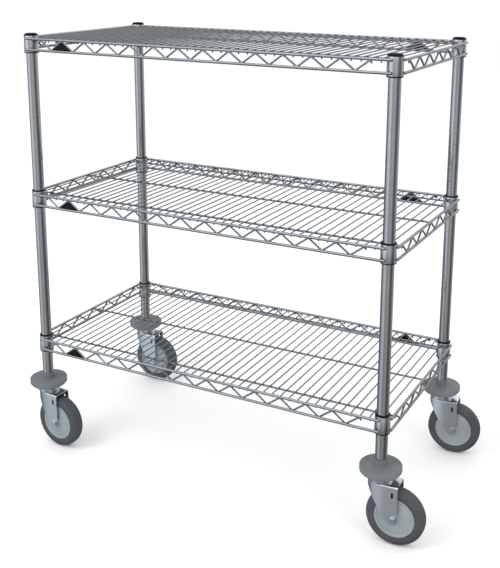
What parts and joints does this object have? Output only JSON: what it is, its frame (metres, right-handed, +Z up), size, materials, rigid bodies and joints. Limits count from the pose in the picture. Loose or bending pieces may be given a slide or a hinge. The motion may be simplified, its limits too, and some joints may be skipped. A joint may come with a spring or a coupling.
{
  "type": "wire shelf cart",
  "caption": "Chrome wire shelf cart with grooved posts, trussed wire shelves, plastic sleeve collars and swivel casters with ring bumpers.",
  "frame": {"origin": "on the floor, below the middle of the cart's bounding box with the casters trailing towards +X", "axes": "+Z up, +X along the long side towards the side the casters trail to, +Y from the front to the back"},
  "size_m": [1.0202, 0.506, 1.0159],
  "materials": {
    "chrome_wire": "bright chrome plate over ground wire and tube",
    "zinc_steel": "satin zinc plate on pressed steel",
    "bolt_steel": "bright zinc plate",
    "black_plastic": "moulded satin black plastic",
    "bumper_rubber": "matt mid-grey rubber",
    "tyre_rubber": "matt dark grey rubber tread",
    "wheel_plastic": "moulded light blue-grey plastic"
  },
  "bodies": {
    "cart_frame": {"post_front_left": "chrome_wire", "post_cap_front_left": "black_plastic", "post_front_right": "chrome_wire", "post_cap_front_right": "black_plastic", "post_rear_left": "chrome_wire", "post_cap_rear_left": "black_plastic", "post_rear_right": "chrome_wire", "post_cap_rear_right": "black_plastic", "bumper_front_left": "bumper_rubber", "caster_stem_front_left": "zinc_steel", "bumper_front_right": "bumper_rubber", "caster_stem_front_right": "zinc_steel", "bumper_rear_left": "bumper_rubber", "caster_stem_rear_left": "zinc_steel", "bumper_rear_right": "bumper_rubber", "caster_stem_rear_right": "zinc_steel", "bottom_shelf_frame": "chrome_wire", "bottom_shelf_deck": "chrome_wire", "bottom_sleeve_front_left": "black_plastic", "bottom_sleeve_front_right": "black_plastic", "bottom_sleeve_rear_left": "black_plastic", "bottom_sleeve_rear_right": "black_plastic", "bottom_badge_front": "black_plastic", "bottom_badge_rear": "black_plastic", "top_shelf_frame": "chrome_wire", "top_shelf_deck": "chrome_wire", "top_sleeve_front_left": "black_plastic", "top_sleeve_front_right": "black_plastic", "top_sleeve_rear_left": "black_plastic", "top_sleeve_rear_right": "black_plastic", "top_badge_front": "black_plastic", "top_badge_rear": "black_plastic"},
    "middle_shelf": {"middle_shelf_frame": "chrome_wire", "middle_shelf_deck": "chrome_wire", "middle_sleeve_front_left": "black_plastic", "middle_sleeve_front_right": "black_plastic", "middle_sleeve_rear_left": "black_plastic", "middle_sleeve_rear_right": "black_plastic", "middle_badge_front": "black_plastic", "middle_badge_rear": "black_plastic"},
    "swivel_front_left": {"fork_front_left": "zinc_steel", "axle_bolt_front_left": "bolt_steel", "axle_nut_front_left": "bolt_steel"},
    "wheel_front_left": {"wheel_core_front_left": "wheel_plastic", "tyre_front_left": "tyre_rubber"},
    "swivel_front_right": {"fork_front_right": "zinc_steel", "axle_bolt_front_right": "bolt_steel", "axle_nut_front_right": "bolt_steel"},
    "wheel_front_right": {"wheel_core_front_right": "wheel_plastic", "tyre_front_right": "tyre_rubber"},
    "swivel_rear_left": {"fork_rear_left": "zinc_steel", "axle_bolt_rear_left": "bolt_steel", "axle_nut_rear_left": "bolt_steel"},
    "wheel_rear_left": {"wheel_core_rear_left": "wheel_plastic", "tyre_rear_left": "tyre_rubber"},
    "swivel_rear_right": {"fork_rear_right": "zinc_steel", "axle_bolt_rear_right": "bolt_steel", "axle_nut_rear_right": "bolt_steel"},
    "wheel_rear_right": {"wheel_core_rear_right": "wheel_plastic", "tyre_rear_right": "tyre_rubber"}
  },
  "joints": [
    {"name": "middle_shelf_height", "type": "slide", "parent": "cart_frame", "child": "middle_shelf", "axis": [0, 0, 1], "range_m": [-0.286, 0.286]},
    {"name": "swivel_front_left", "type": "hinge", "parent": "cart_frame", "child": "swivel_front_left", "pos_m": [-0.46562, -0.20852, 0.1385], "axis": [0, 0, 1], "continuous": true},
    {"name": "wheel_spin_front_left", "type": "hinge", "parent": "swivel_front_left", "child": "wheel_front_left", "pos_m": [-0.42976, -0.21171, 0.0635], "axis": [0.0889, 0.996, 0], "continuous": true},
    {"name": "swivel_front_right", "type": "hinge", "parent": "cart_frame", "child": "swivel_front_right", "pos_m": [0.41038, -0.20852, 0.1385], "axis": [0, 0, 1], "continuous": true},
    {"name": "wheel_spin_front_right", "type": "hinge", "parent": "swivel_front_right", "child": "wheel_front_right", "pos_m": [0.44635, -0.20707, 0.0635], "axis": [-0.0401, 0.9992, 0], "continuous": true},
    {"name": "swivel_rear_left", "type": "hinge", "parent": "cart_frame", "child": "swivel_rear_left", "pos_m": [-0.46562, 0.20849, 0.1385], "axis": [0, 0, 1], "continuous": true},
    {"name": "wheel_spin_rear_left", "type": "hinge", "parent": "swivel_rear_left", "child": "wheel_rear_left", "pos_m": [-0.42962, 0.20905, 0.0635], "axis": [-0.0157, 0.9999, 0], "continuous": true},
    {"name": "swivel_rear_right", "type": "hinge", "parent": "cart_frame", "child": "swivel_rear_right", "pos_m": [0.41038, 0.20849, 0.1385], "axis": [0, 0, 1], "continuous": true},
    {"name": "wheel_spin_rear_right", "type": "hinge", "parent": "swivel_rear_right", "child": "wheel_rear_right", "pos_m": [0.44624, 0.21169, 0.0635], "axis": [-0.0889, 0.996, 0], "continuous": true}
  ]
}
